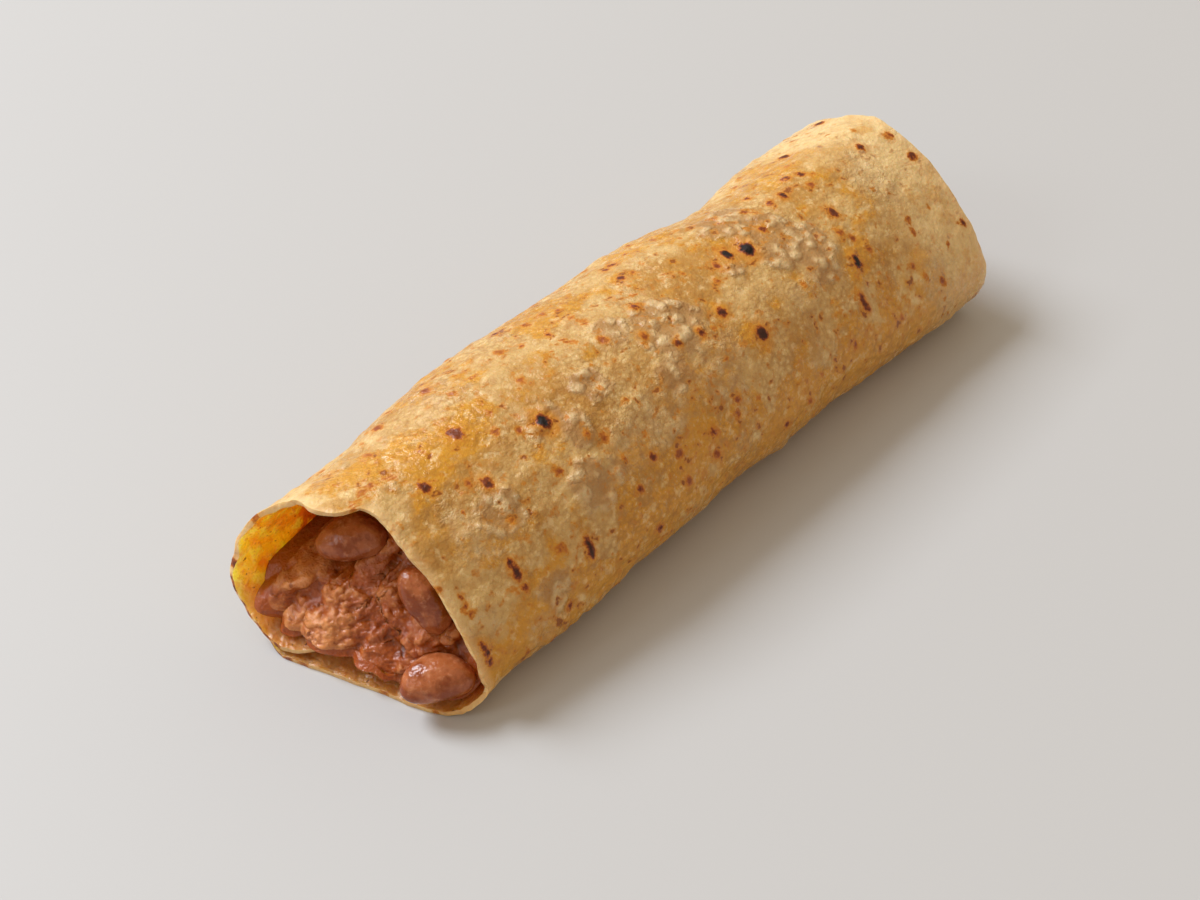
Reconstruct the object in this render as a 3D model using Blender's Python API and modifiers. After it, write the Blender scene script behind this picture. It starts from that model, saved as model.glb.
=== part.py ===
"""Bean enchilada: one soft tortilla rolled round refried beans, open at both ends.

The roll lies along X with its lap seam at the lower left. Its slanted mouth is at -X, its square
end at +X, the left side is +Y and the crown is +Z. Lengths are in millimetres until a shape is
turned into an object, which is in metres.
"""

import math

import bmesh
import bpy
from mathutils import Matrix, Vector, noise

METRES = 0.001

noise.seed_set(5)        # without it noise_vector differs from run to run

# Ends of the roll
MOUTH_X = -90.0          # mouth rim at the height of the plate, in the middle of the roll
MOUTH_RISE = 0.35        # how far the mouth rim sets back for each millimetre of height
MOUTH_SLANT = 0.32       # how far it comes forward for each millimetre to the left
TONGUE = 2.5             # the crown's lip hangs forward by this much
SQUARE_END_X = 95.2

# Tortilla
SHEET = 2.0              # thickness
PLY_GAP = 0.4            # air between the two plies of the seam
LENGTH_STEPS = 22
TURN_STEPS = 52          # steps in one whole turn of the roll
INNER_EDGE_STEP = 0      # step past the middle of the underside at which the sheet starts
OUTER_EDGE_STEP = 6      # step, one turn later, at which it ends under its own first stretch
PLY_RUN = 0.075          # share of a turn in which the inner ply comes out to the outline
PLY_SHIFT = 0.8          # the outer ply's rim stands this much ahead at the mouth
START_RECESS = 9.0       # how far the sheet's rims draw back where it starts, cut round
END_RECESS_SHEET = 1.5   # and where it ends

# Where the mouth rim is cut back or stands forward: middle turn, half width, shift
RIM_SHIFTS = ((0.375, 0.045, 1.6), (0.80, 0.06, 1.8), (0.955, 0.04, -0.8), (0.60, 0.05, 0.6))
NOTCH = (0.480, 0.500, 0.590)    # turns at which the crown's notch starts, is deepest and ends
NOTCH_DEPTH = 3.0

# Filling and beans
GAP = 0.3                # between a bean and the bed it lies in
SKIN_GAP = 0.5           # between the filling and the tortilla
FACE_RINGS = 9
WALL_RINGS = 15
BACK_RINGS = 5
CORE = Vector((-2.0, 14.0))     # (y, z) of the middle of both faces of the filling
MOUTH_RECESS = 0.6       # how far the filling's bulge sits behind the mouth rim
FOOT_RECESS = 1.2        # how far its foot is undercut at the left
GROOVE = 3.0             # depth of the bed between the lumps
CROWN_HOLLOW = 14.0      # how deep it falls back under the crown
LEFT_SLUMP = 24.0        # and how much deeper beside the left wall
END_RECESS = 5.0         # and behind the square end's rim
END_LEAN = 0.25          # how far that face leans back for each millimetre of height
LUMP_SIZE = 8.0
LUMP_HEIGHT = 3.0
LUMP_JOINT = 1.6         # how softly the lumps run into each other
BEAN_LENGTH = 14.6
BEAN_WIDTH = 9.8
BEAN_THICKNESS = 9.0
BEAN_BEND = 1.6

# Outside of the roll as (y, z) points of a smooth closed loop, from the middle of the
# underside round the left side, the crown and the right side.
MOUTH_OUTLINE = (
    (-3.5, 0.0), (12.5, 0.5), (23.0, 8.5), (25.5, 17.0), (22.3, 27.2), (12.5, 34.0),
    (1.5, 36.0), (-10.5, 30.5), (-22.0, 21.0), (-30.0, 10.0), (-31.5, 5.0), (-25.5, 0.5),
)
MIDDLE_OUTLINE = (
    (-2.5, 0.0), (14.5, 0.5), (25.5, 7.0), (29.5, 18.0), (25.5, 29.0), (15.5, 36.5),
    (1.5, 40.0), (-13.5, 36.5), (-24.5, 27.5), (-30.0, 16.0), (-28.0, 5.5), (-18.5, 0.5),
)
SQUARE_OUTLINE = (
    (-2.5, 0.0), (15.5, 0.5), (27.5, 7.5), (31.5, 18.0), (27.0, 28.0), (16.5, 36.0),
    (4.5, 41.0), (-11.5, 36.0), (-24.0, 26.0), (-31.5, 15.0), (-30.5, 5.0), (-20.5, 0.5),
)
MOUTH_TO_MIDDLE = (-88.0, -18.0)     # x over which the outline changes from one loop to the next
MIDDLE_TO_SQUARE = (22.0, 92.0)
SLOPE_STEP = 0.25 / TURN_STEPS       # turn over which the outline's direction is measured

# Swellings of the outside on top of the loops: (height, middle x, half length)
SHOULDER_SWELLS = ((1.5, 14.0, 20.0), (-2.8, 51.0, 15.0), (1.8, -32.0, 30.0))
CORNER_SWELLS = ((2.0, -68.0, 14.0), (-1.0, -48.0, 10.0))

# Whole beans: middle, direction of the long axis
BEANS = {
    "bean_mouth_low": ((-80.9, -21.3, 7.5), (0.78, -0.62, 0.08)),
    "bean_mouth_side": ((-74.0, -12.4, 19.0), (0.03, -0.56, -0.83)),
    "bean_mouth_top": ((-73.8, 9.3, 20.0), (0.62, -0.74, 0.20)),
    "bean_end_low": ((85.0, 9.5, 10.5), (-0.20, 0.95, 0.15)),
    "bean_end_top": ((83.0, -8.0, 23.0), (0.10, 0.80, 0.55)),
}

# Lumps of the mash at the mouth: middle (y, z), half length, half width, tilt in degrees, bulge
MASH_LUMPS = (
    ((3.0, 6.8), 6.8, 5.4, 0.0, 4.8), ((4.6, 13.6), 4.6, 3.6, 20.0, 3.2),
    ((3.6, 18.6), 4.8, 3.9, 90.0, 4.4), ((1.0, 22.5), 3.9, 3.4, 90.0, 4.0),
    ((14.6, 13.4), 6.4, 2.2, 140.0, 3.4), ((18.0, 8.2), 3.6, 4.6, 0.0, 3.8),
    ((12.0, 5.6), 3.5, 3.4, 0.0, 3.6), ((-3.0, 16.5), 3.0, 2.6, 60.0, 2.2),
    ((-6.4, 13.4), 3.8, 3.1, 30.0, 3.2), ((-13.0, 11.0), 4.5, 3.4, 10.0, 3.2),
    ((-14.6, 12.4), 1.7, 1.7, 0.0, 4.2), ((-5.4, 7.4), 3.0, 2.3, 20.0, 2.6),
    ((-7.0, 4.2), 5.2, 3.9, 20.0, 5.0), ((-12.4, 6.2), 2.4, 2.0, 0.0, 2.8),
    ((-18.6, 14.0), 3.0, 3.0, 0.0, 3.0), ((9.5, 16.5), 3.4, 2.0, 140.0, 2.2),
)

COLOURS = {
    "tortilla": ((0.74, 0.50, 0.24), 0.45),
    "bean_filling": ((0.27, 0.10, 0.045), 0.35),
    "bean": ((0.33, 0.13, 0.07), 0.25),
}


def smoothstep(low, high, value):
    share = min(max((value - low) / (high - low), 0.0), 1.0)
    return share * share * (3.0 - 2.0 * share)


def bump(value, middle, width):
    return math.exp(-((value - middle) / width) ** 2)


def loop_point(points, turn):
    """Point of the closed Catmull-Rom curve through the points, once round for turn 0 to 1."""
    place = turn % 1.0 * len(points)
    first = int(place)
    part = place - first
    before, start, end, after = (
        Vector(points[(first + step) % len(points)]) for step in (-1, 0, 1, 2)
    )
    linear = (end - before) * part
    square = (2.0 * before - 5.0 * start + 4.0 * end - after) * part ** 2
    cube = (3.0 * start - before - 3.0 * end + after) * part ** 3
    return 0.5 * (2.0 * start + linear + square + cube)


def swelling(x, swells):
    return sum(height * bump(x, middle, half_length) for height, middle, half_length in swells)


def outline(x, turn):
    """(y, z) of the roll's outside at x, with its waist, its belly and its pinched mouth corner."""
    loops = (MOUTH_OUTLINE, MIDDLE_OUTLINE, SQUARE_OUTLINE)
    mouth, middle, square = (loop_point(points, turn) for points in loops)
    point = mouth.lerp(middle, smoothstep(*MOUTH_TO_MIDDLE, x))
    point = point.lerp(square, smoothstep(*MIDDLE_TO_SQUARE, x))
    shoulder = smoothstep(-15.0, 20.0, point.x) * smoothstep(5.0, 25.0, point.y)
    corner = smoothstep(-22.0, -28.0, point.x) * smoothstep(14.0, 6.0, point.y)
    point.x += shoulder * swelling(x, SHOULDER_SWELLS) + corner * swelling(x, CORNER_SWELLS)
    point.y = max(point.y, 0.0)
    return point


def inset(x, turn, depth):
    """The outline's point moved into the roll by depth."""
    along = (outline(x, turn + SLOPE_STEP) - outline(x, turn - SLOPE_STEP)).normalized()
    return outline(x, turn) + depth * Vector((-along.y, along.x))


def slanted_mouth(point):
    """x of the mouth's slanted plane at a (y, z) point."""
    return MOUTH_X + MOUTH_RISE * point.y - MOUTH_SLANT * point.x


def mouth_rim(point):
    """x of the mouth rim at a (y, z) point: the slanted plane with the crown's tongue."""
    tongue = TONGUE * bump(point.x, 6.5, 6.0) * smoothstep(25.0, 32.0, point.y)
    return slanted_mouth(point) - tongue


def ply_lift(turn):
    """How far the sheet lies inside the outline where it rests on its own outer ply."""
    flap_end = (OUTER_EDGE_STEP + 0.5) / TURN_STEPS
    return (SHEET + PLY_GAP) * (1.0 - smoothstep(flap_end, flap_end + PLY_RUN, turn))


def drawn_back(turn):
    """How far the rims draw back near both ends of the sheet, because it was cut round."""
    end = 1.0 + OUTER_EDGE_STEP / TURN_STEPS
    return (
        START_RECESS * smoothstep(0.06, 0.0, turn)
        + END_RECESS_SHEET * smoothstep(end - 0.05, end, turn)
    )


def rim_at(turn):
    """x of the mouth rim along the sheet."""
    rim = mouth_rim(loop_point(MOUTH_OUTLINE, turn)) - PLY_SHIFT * smoothstep(0.95, 1.05, turn)
    start, deepest, end = NOTCH
    notch = NOTCH_DEPTH * smoothstep(start, deepest, turn) * smoothstep(end, deepest, turn)
    shifts = sum(shift * bump(turn, middle, half) for middle, half, shift in RIM_SHIFTS)
    return rim + drawn_back(turn) + notch + shifts


def sheet_point(share, turn):
    """Point on the outer side of the tortilla, share 0 at the mouth and 1 at the square end."""
    rim, end = rim_at(turn), SQUARE_END_X - drawn_back(turn)
    x = rim + share * (end - rim)
    point = inset(x, turn, ply_lift(turn))
    return Vector((x, point.x, point.y))


def wall_depth(turn):
    """Depth of the filling's skin under the outline: one ply, or two over the seam."""
    turn = (turn + 0.5) % 1.0 - 0.5
    over_inner = smoothstep(INNER_EDGE_STEP - 2.0, INNER_EDGE_STEP - 1.0, turn * TURN_STEPS)
    return SHEET + SKIN_GAP + over_inner * ply_lift(turn)


def lumps(point, side):
    return LUMP_HEIGHT * noise.noise(Vector((point.x, point.y, side)) / LUMP_SIZE)


def lump_at(point):
    """Bulge of the mouth face's lumps at a (y, z) point."""
    joined = 0.0
    for middle, half_length, half_width, tilt, bulge in MASH_LUMPS:
        away = Matrix.Rotation(-math.radians(tilt), 2) @ (point - Vector(middle))
        away = Vector((away.x / half_length, away.y / half_width)).length
        height = bulge * max(0.0, 1.0 - away ** 2) ** 0.6
        joint = 0.3 * min(joined, height) * smoothstep(LUMP_JOINT, 0.0, abs(joined - height))
        joined = max(joined, height) + joint
    return joined


def mouth_face(point):
    """x of the filling's front: lumps on an undercut foot, a hollow under crown and left wall."""
    foot = FOOT_RECESS * smoothstep(2.0, 15.0, point.x) * smoothstep(8.0, 3.0, point.y)
    groove = GROOVE * smoothstep(2.0, 6.0, point.y)
    hollow = CROWN_HOLLOW * smoothstep(7.0, 27.0, point.y)
    slump = LEFT_SLUMP * smoothstep(6.0, 13.0, point.x) * smoothstep(13.0, 18.5, point.y)
    wander = 0.9 * noise.noise_vector(Vector((point.x, point.y, 0.0)) / 3.0).xy
    return slanted_mouth(point) + MOUTH_RECESS + groove + foot + hollow + slump - lump_at(point + wander)


def end_face(point):
    """x of the filling's face at the square end, which leans back a little."""
    return SQUARE_END_X - END_RECESS - END_LEAN * point.y + lumps(point, SQUARE_END_X)


def filling_point(ring, turn):
    """Point on the filling, ring by ring from the middle of one face to the middle of the other."""
    depth = wall_depth(turn)
    front = mouth_face(inset(MOUTH_TO_MIDDLE[0], turn, depth))
    back = end_face(inset(MIDDLE_TO_SQUARE[1], turn, depth))
    if ring <= FACE_RINGS:
        point = CORE.lerp(inset(front, turn, depth), ring / FACE_RINGS)
        return Vector((mouth_face(point), point.x, point.y))
    if ring >= FACE_RINGS + WALL_RINGS:
        share = (FACE_RINGS + WALL_RINGS + BACK_RINGS - ring) / BACK_RINGS
        point = CORE.lerp(inset(back, turn, depth), share)
        return Vector((end_face(point), point.x, point.y))
    x = front + (back - front) * (ring - FACE_RINGS) / WALL_RINGS
    point = inset(x, turn, depth)
    return Vector((x, point.x, point.y))


def add_object(name, shape, collection):
    """Turn a bmesh in millimetres into a smooth-shaded object in metres."""
    bmesh.ops.scale(shape, vec=(METRES,) * 3, verts=shape.verts)
    mesh = bpy.data.meshes.new(name)
    shape.to_mesh(mesh)
    shape.free()
    mesh.shade_smooth()
    thing = bpy.data.objects.new(name, mesh)
    collection.objects.link(thing)
    return thing


def paint(thing, kind):
    colour, roughness = COLOURS[kind]
    material = bpy.data.materials.get(kind) or bpy.data.materials.new(kind)
    material.use_nodes = True
    shader = material.node_tree.nodes["Principled BSDF"]
    shader.inputs["Base Color"].default_value = (*colour, 1.0)
    shader.inputs["Roughness"].default_value = roughness
    thing.data.materials.append(material)


def make_tortilla(collection):
    """A flat sheet bent into the roll, then given its thickness inwards."""
    steps = TURN_STEPS + OUTER_EDGE_STEP - INNER_EDGE_STEP
    shape = bmesh.new()
    bmesh.ops.create_grid(shape, x_segments=LENGTH_STEPS, y_segments=steps, size=0.5)
    for vertex in shape.verts:
        turn = (INNER_EDGE_STEP + (vertex.co.y + 0.5) * steps) / TURN_STEPS
        vertex.co = sheet_point(vertex.co.x + 0.5, turn)
    bmesh.ops.reverse_faces(shape, faces=shape.faces)
    tortilla = add_object("tortilla", shape, collection)
    paint(tortilla, "tortilla")
    thickness = tortilla.modifiers.new("thickness", "SOLIDIFY")
    thickness.thickness = SHEET * METRES
    thickness.offset = -1.0


def make_bean(name, swell, collection):
    """A kidney-shaped bean; swell makes the slightly larger bed that it lies in."""
    middle, direction = BEANS[name]
    shape = bmesh.new()
    bmesh.ops.create_uvsphere(shape, u_segments=14, v_segments=9, radius=0.5)
    for vertex in shape.verts:
        along = 2.0 * vertex.co.z
        side = vertex.co.x * BEAN_WIDTH - BEAN_BEND * along ** 2
        side += BEAN_BEND / 2.0
        vertex.co = Vector((vertex.co.z * BEAN_LENGTH, side, vertex.co.y * BEAN_THICKNESS))
    bmesh.ops.recalc_face_normals(shape, faces=shape.faces)
    shape.normal_update()
    for vertex in shape.verts:
        vertex.co += vertex.normal * swell
    bean = add_object(name if not swell else name + "_bed", shape, collection)
    bean.location = Vector(middle) * METRES
    bean.rotation_mode = "QUATERNION"
    bean.rotation_quaternion = Vector(direction).to_track_quat("X", "Z")
    return bean


def make_filling(collection, beds):
    """A sphere's rings spread over both faces and the wall, less the beds of the whole beans."""
    rings = FACE_RINGS + WALL_RINGS + BACK_RINGS
    shape = bmesh.new()
    bmesh.ops.create_uvsphere(shape, u_segments=TURN_STEPS, v_segments=rings, radius=1.0)
    for vertex in shape.verts:
        ring = round(math.acos(max(-1.0, min(1.0, vertex.co.z))) / math.pi * rings)
        turn = round(math.atan2(vertex.co.y, vertex.co.x) / math.tau * TURN_STEPS) / TURN_STEPS
        vertex.co = filling_point(ring, turn)
    bmesh.ops.recalc_face_normals(shape, faces=shape.faces)
    filling = add_object("bean_filling", shape, collection)
    paint(filling, "bean_filling")
    for bed in beds:
        cut = filling.modifiers.new(bed.name, "BOOLEAN")
        cut.operation = "DIFFERENCE"
        cut.solver = "EXACT"
        cut.object = bed


def main():
    for thing in list(bpy.data.objects):
        bpy.data.objects.remove(thing)
    food = bpy.data.collections.new("enchilada")
    cutters = bpy.data.collections.new("cutters")
    bpy.context.scene.collection.children.link(food)
    bpy.context.scene.collection.children.link(cutters)

    make_tortilla(food)
    beds = []
    for name in BEANS:
        paint(make_bean(name, 0.0, food), "bean")
        bed = make_bean(name, GAP, cutters)
        bed.hide_render = True
        bed.display_type = "WIRE"
        beds.append(bed)
    make_filling(food, beds)


main()
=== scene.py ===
"""Looks of the bean enchilada: a griddled tortilla, oily inside, round wet bean mash and whole beans.

The roll lies along X with its slanted mouth at -X; the left side is +Y and the crown is +Z. The
shapes are worked out in millimetres, as in the CAD model, and turned into metres at the end.
"""

import functools
import math
import random

import bmesh
import bpy
from mathutils import Matrix, Vector, kdtree, noise


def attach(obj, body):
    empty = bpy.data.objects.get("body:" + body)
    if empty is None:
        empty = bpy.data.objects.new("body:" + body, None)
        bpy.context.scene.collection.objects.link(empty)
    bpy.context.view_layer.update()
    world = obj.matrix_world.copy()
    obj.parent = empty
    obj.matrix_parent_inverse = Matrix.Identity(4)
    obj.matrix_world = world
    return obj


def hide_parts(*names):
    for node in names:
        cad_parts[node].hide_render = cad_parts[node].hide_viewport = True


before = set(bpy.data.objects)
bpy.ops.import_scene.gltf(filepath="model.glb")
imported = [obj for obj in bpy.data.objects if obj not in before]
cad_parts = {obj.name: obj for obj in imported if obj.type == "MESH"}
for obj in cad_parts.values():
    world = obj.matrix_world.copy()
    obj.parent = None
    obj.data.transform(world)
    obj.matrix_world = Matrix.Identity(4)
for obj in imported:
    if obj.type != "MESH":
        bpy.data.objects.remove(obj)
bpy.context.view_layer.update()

bl_info = {
    "name": "Bean Enchilada",
    "version": (1, 0, 0),
    "blender": (4, 5, 0),
    "location": "3D View > Sidebar > Enchilada",
    "description": "Makes the griddled tortilla, the bean mash and the beans round the packed model",
    "category": "Add Mesh",
}

MM = 0.001
BODY = "root"

noise.seed_set(5)        # without it noise_vector differs from run to run

# Ends of the roll, as in the CAD model
MOUTH_X = -90.0
MOUTH_RISE = 0.35
MOUTH_SLANT = 0.32
TONGUE = 2.5
SQUARE_END_X = 95.2

# Tortilla, as in the CAD model
SHEET = 2.0
TURN_STEPS = 52
OUTER_EDGE = 6.0 / TURN_STEPS        # turn past one at which the sheet ends under itself
PLY_SHIFT = 0.8
START_RECESS = 9.0       # how far the sheet's rims draw back where it starts
END_RECESS_SHEET = 1.5   # and where it ends
# Where the mouth rim is cut back or stands forward: middle turn, half width, shift
RIM_SHIFTS = ((0.375, 0.045, 1.6), (0.80, 0.06, 1.8), (0.955, 0.04, -0.8), (0.60, 0.05, 0.6))
NOTCH = (0.480, 0.500, 0.590)   # turns at which the crown's notch starts, is deepest and ends
NOTCH_DEPTH = 3.0
SLOPE_STEP = 0.25 / TURN_STEPS

# Seam, whose plies lie closer together than in the CAD model
PLY_GAP = 0.3
PLY_RUN = 0.035
FEATHER = 0.07           # turn over which the outer ply thins to its end

# Filling, as in the CAD model
SKIN_GAP = 0.5
CORE = Vector((-2.0, 14.0))
MOUTH_RECESS = 0.6
FOOT_RECESS = 1.2
CROWN_HOLLOW = 14.0
LEFT_SLUMP = 24.0
GROOVE = 3.0             # depth of the bed between the lumps
END_RECESS = 5.0
END_LEAN = 0.25
LUMP_SIZE = 8.0
LUMP_HEIGHT = 3.0
LUMP_JOINT = 1.6         # how softly the lumps run into each other
LUMP_WANDER = 0.9        # how far their outlines wander
LUMP_WANDER_SIZE = 3.0

# Beans, as in the CAD model: length, width, thickness, bend
BEAN_LENGTH = 14.6
BEAN_WIDTH = 9.8
BEAN_THICKNESS = 9.0
BEAN_BEND = 1.6

# Outside of the roll as (y, z) points of a smooth closed loop, as in the CAD model
MOUTH_OUTLINE = (
    (-3.5, 0.0), (12.5, 0.5), (23.0, 8.5), (25.5, 17.0), (22.3, 27.2), (12.5, 34.0),
    (1.5, 36.0), (-10.5, 30.5), (-22.0, 21.0), (-30.0, 10.0), (-31.5, 5.0), (-25.5, 0.5),
)
MIDDLE_OUTLINE = (
    (-2.5, 0.0), (14.5, 0.5), (25.5, 7.0), (29.5, 18.0), (25.5, 29.0), (15.5, 36.5),
    (1.5, 40.0), (-13.5, 36.5), (-24.5, 27.5), (-30.0, 16.0), (-28.0, 5.5), (-18.5, 0.5),
)
SQUARE_OUTLINE = (
    (-2.5, 0.0), (15.5, 0.5), (27.5, 7.5), (31.5, 18.0), (27.0, 28.0), (16.5, 36.0),
    (4.5, 41.0), (-11.5, 36.0), (-24.0, 26.0), (-31.5, 15.0), (-30.5, 5.0), (-20.5, 0.5),
)
MOUTH_TO_MIDDLE = (-88.0, -18.0)
MIDDLE_TO_SQUARE = (22.0, 92.0)
SHOULDER_SWELLS = ((1.5, 14.0, 20.0), (-2.8, 51.0, 15.0), (1.8, -32.0, 30.0))
CORNER_SWELLS = ((2.0, -68.0, 14.0), (-1.0, -48.0, 10.0))

# Whole beans: middle, direction of the long axis, as in the CAD model
BEANS = {
    "bean_mouth_low": ((-80.9, -21.3, 7.5), (0.78, -0.62, 0.08)),
    "bean_mouth_side": ((-74.0, -12.4, 19.0), (0.03, -0.56, -0.83)),
    "bean_mouth_top": ((-73.8, 9.3, 20.0), (0.62, -0.74, 0.20)),
    "bean_end_low": ((85.0, 9.5, 10.5), (-0.20, 0.95, 0.15)),
    "bean_end_top": ((83.0, -8.0, 23.0), (0.10, 0.80, 0.55)),
}

# Mesh density of the shown pieces
SHEET_STEPS_LONG = 222
SHEET_STEPS_ROUND = 206
FACE_RINGS = 84
WALL_RINGS = 18
BACK_RINGS = 44
MASH_SEGMENTS = 300
BEAN_SEGMENTS = 72
BEAN_RINGS = 44

# Toast marks of the sheet: x, turn, radius, tone (1 is black)
TOAST_MARKS = (
    (-36, 0.555, 1.36, 1.0), (34, 0.530, 1.60, 0.95), (29.5, 0.520, 1.28, 0.95), (20, 0.625, 1.42, 0.85),
    (15.5, 0.575, 0.92, 0.8), (7.5, 0.580, 0.55, 0.8), (-64, 0.530, 0.82, 0.75), (-54, 0.570, 0.87, 0.8),
    (-51, 0.500, 1.42, 0.65), (-60, 0.690, 0.34, 0.8), (-27, 0.690, 0.46, 0.75), (-21, 0.665, 0.63, 0.7),
    (-4, 0.690, 0.67, 0.7), (-17, 0.465, 0.49, 0.7), (8, 0.455, 0.82, 0.75), (10.3, 0.415, 0.71, 0.75),
    (13, 0.413, 0.65, 0.75), (1, 0.510, 0.65, 0.75), (0.5, 0.575, 0.55, 0.75), (42, 0.520, 0.65, 0.8),
    (55, 0.495, 0.82, 0.85), (51, 0.490, 0.60, 0.75), (61, 0.475, 0.65, 0.8), (64, 0.490, 0.60, 0.75),
    (50.5, 0.445, 0.65, 0.75), (60, 0.560, 0.92, 0.75), (55.5, 0.625, 0.96, 0.95), (73, 0.420, 0.99, 0.8),
    (92, 0.400, 1.09, 0.8), (83, 0.520, 0.92, 0.8), (92.5, 0.565, 0.87, 0.75), (93, 0.670, 0.67, 0.75),
    (-25, 0.765, 0.71, 0.75), (-52.5, 0.755, 0.59, 0.75), (17.5, 0.765, 0.63, 0.7), (-20.5, 0.385, 0.65, 0.8),
    (-45, 0.530, 0.57, 0.5), (-57, 0.560, 0.57, 0.5), (-59, 0.490, 0.46, 0.5), (-44, 0.400, 1.14, 0.5),
    (-51, 0.360, 0.68, 0.5), (-57, 0.385, 0.91, 0.5), (-71, 0.360, 0.68, 0.5), (-65, 0.425, 0.68, 0.4),
    (-67, 0.490, 0.80, 0.4), (-73, 0.475, 0.57, 0.4), (-71, 0.480, 0.46, 0.5), (-77, 0.490, 0.68, 0.4),
    (-27, 0.440, 0.91, 0.4), (-16, 0.420, 0.57, 0.5), (-11, 0.420, 0.68, 0.5), (-32, 0.500, 0.86, 0.45),
    (-43, 0.450, 0.75, 0.4), (-41, 0.545, 0.68, 0.5), (-55, 0.620, 0.57, 0.5), (-14.5, 0.685, 0.86, 0.5),
    (-5, 0.720, 0.80, 0.5), (-15, 0.725, 0.80, 0.5), (-27, 0.645, 0.40, 0.6), (-28, 0.610, 0.75, 0.5),
    (-31, 0.595, 0.52, 0.5), (-41, 0.610, 0.68, 0.5), (5, 0.675, 0.57, 0.5), (3.5, 0.690, 0.68, 0.5),
    (-4, 0.545, 0.86, 0.5), (18, 0.410, 0.46, 0.6), (11, 0.360, 0.68, 0.5), (-6, 0.365, 0.68, 0.5),
    (-10, 0.465, 0.57, 0.5), (-10, 0.485, 0.63, 0.5), (-17, 0.490, 0.57, 0.5), (-11.5, 0.520, 0.75, 0.5),
    (25, 0.420, 0.57, 0.5), (25, 0.525, 0.86, 0.55), (21.5, 0.540, 0.68, 0.5), (44, 0.475, 0.68, 0.55),
    (45.5, 0.490, 0.68, 0.55), (38, 0.455, 0.68, 0.5), (62.5, 0.515, 0.75, 0.5), (92.5, 0.530, 0.80, 0.55),
    (57, 0.585, 0.75, 0.5), (59, 0.600, 0.75, 0.5), (61, 0.625, 0.68, 0.5), (44, 0.720, 0.63, 0.5),
    (77, 0.640, 0.75, 0.5), (78, 0.625, 0.57, 0.5), (78, 0.720, 0.75, 0.5), (61, 0.730, 0.52, 0.5),
    (71, 0.675, 0.46, 0.5), (26, 0.755, 0.63, 0.5), (-64, 0.790, 0.68, 0.5), (-50, 0.680, 0.40, 0.5),
    (-75, 0.630, 0.40, 0.5),
)
# Those drawn out round the roll: the same, and the reach in turns to either side
LONG_MARKS = (
    (-60, 0.665, 0.55, 0.85, 0.008), (-73.5, 0.720, 0.50, 0.85, 0.012), (-72, 0.660, 0.34, 0.7, 0.012),
    (-43.5, 0.705, 0.67, 0.85, 0.008), (51, 0.675, 0.71, 0.75, 0.009),
)
# Marks on the mouth's rim: turn, radius, tone
RIM_MARKS = (
    (0.245, 0.5, 0.7), (0.205, 0.5, 0.75), (0.187, 0.6, 0.8), (0.158, 0.6, 0.75), (0.33, 0.4, 0.6),
    (0.14, 0.6, 0.55), (0.12, 0.7, 0.6), (0.105, 0.8, 0.55), (0.085, 0.7, 0.6), (1.045, 0.6, 0.5),
    (1.065, 0.8, 0.55), (1.08, 0.8, 0.6), (1.095, 0.8, 0.6), (0.97, 0.6, 0.45), (0.93, 0.5, 0.4),
)
GLOW_REACH = 3.2         # reach of the golden glow round a mark, in radii
MARK_REACH = 6.0         # marks further away than this don't colour a point
MARKS_NEAR = 6           # how many of the nearest marks are looked at
MARK_RISE = 0.3          # how far a mark stands out of the sheet
MARK_STRETCH = 1.3       # marks are this much shorter along the roll than round it
SMALL_MARKS = 380        # random ones, most of them specks
SMALL_MARK_RADII = (0.1, 0.6)    # smallest, and how much the largest adds
SMALL_MARK_TONES = (0.2, 0.6)

# Clusters of pale flaky blisters: x, turn, radius, strength
BLISTER_CLUSTERS = (
    (-56.0, 0.605, 4.9, 0.8), (-36.0, 0.645, 5.6, 0.8), (-30.0, 0.655, 3.5, 0.7),
    (-22.0, 0.555, 4.2, 1.0), (-8.0, 0.520, 4.2, 0.8), (3.0, 0.550, 8.4, 1.0),
    (-5.0, 0.600, 4.2, 0.8), (-36.0, 0.550, 4.2, 0.8), (-32.0, 0.585, 4.2, 0.8),
    (27.0, 0.545, 2.5, 1.0), (42.0, 0.540, 8.4, 1.0), (47.0, 0.575, 7.0, 0.9),
    (46.0, 0.605, 4.9, 0.8), (38.0, 0.470, 7.0, 0.8), (-54.0, 0.720, 4.2, 0.8),
    (-70.0, 0.500, 2.1, 0.6),
)
PEBBLE_SIZE = 5.4        # width of a blister's pebbles
# Patches where the oil has soaked through, and along the lower right flank (the last six, near turn 0.78)
# painted shade tinted like oil: x, turn, radius, strength
OIL_AND_FLANK_SHADE_PATCHES = (
    (-63.0, 0.480, 9.0, 1.0), (-50.0, 0.500, 6.0, 1.0), (-58.0, 0.630, 5.0, 0.9),
    (-72.0, 0.420, 7.0, 0.7), (-40.0, 0.400, 9.0, 0.8), (-10.0, 0.390, 12.0, 0.7),
    (25.0, 0.400, 10.0, 0.7), (60.0, 0.430, 10.0, 0.7), (-25.0, 0.660, 7.0, 0.7),
    (57.0, 0.640, 6.0, 0.8), (88.0, 0.620, 6.0, 0.4), (-8.0, 0.705, 8.0, 1.0),
    (-62.0, 0.790, 10.0, 0.8), (-35.0, 0.780, 10.0, 0.9), (-8.0, 0.780, 11.0, 0.9),
    (20.0, 0.770, 11.0, 0.9), (45.0, 0.770, 11.0, 0.9), (72.0, 0.770, 12.0, 0.9),
)

# Painted shade: from these turns on, the right flank is tinted gold as if oiled, for the warmer shade there
OIL_AND_SHADE_FLANK = (0.62, 0.78)   # turns between which the oil sets in along the right flank

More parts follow.
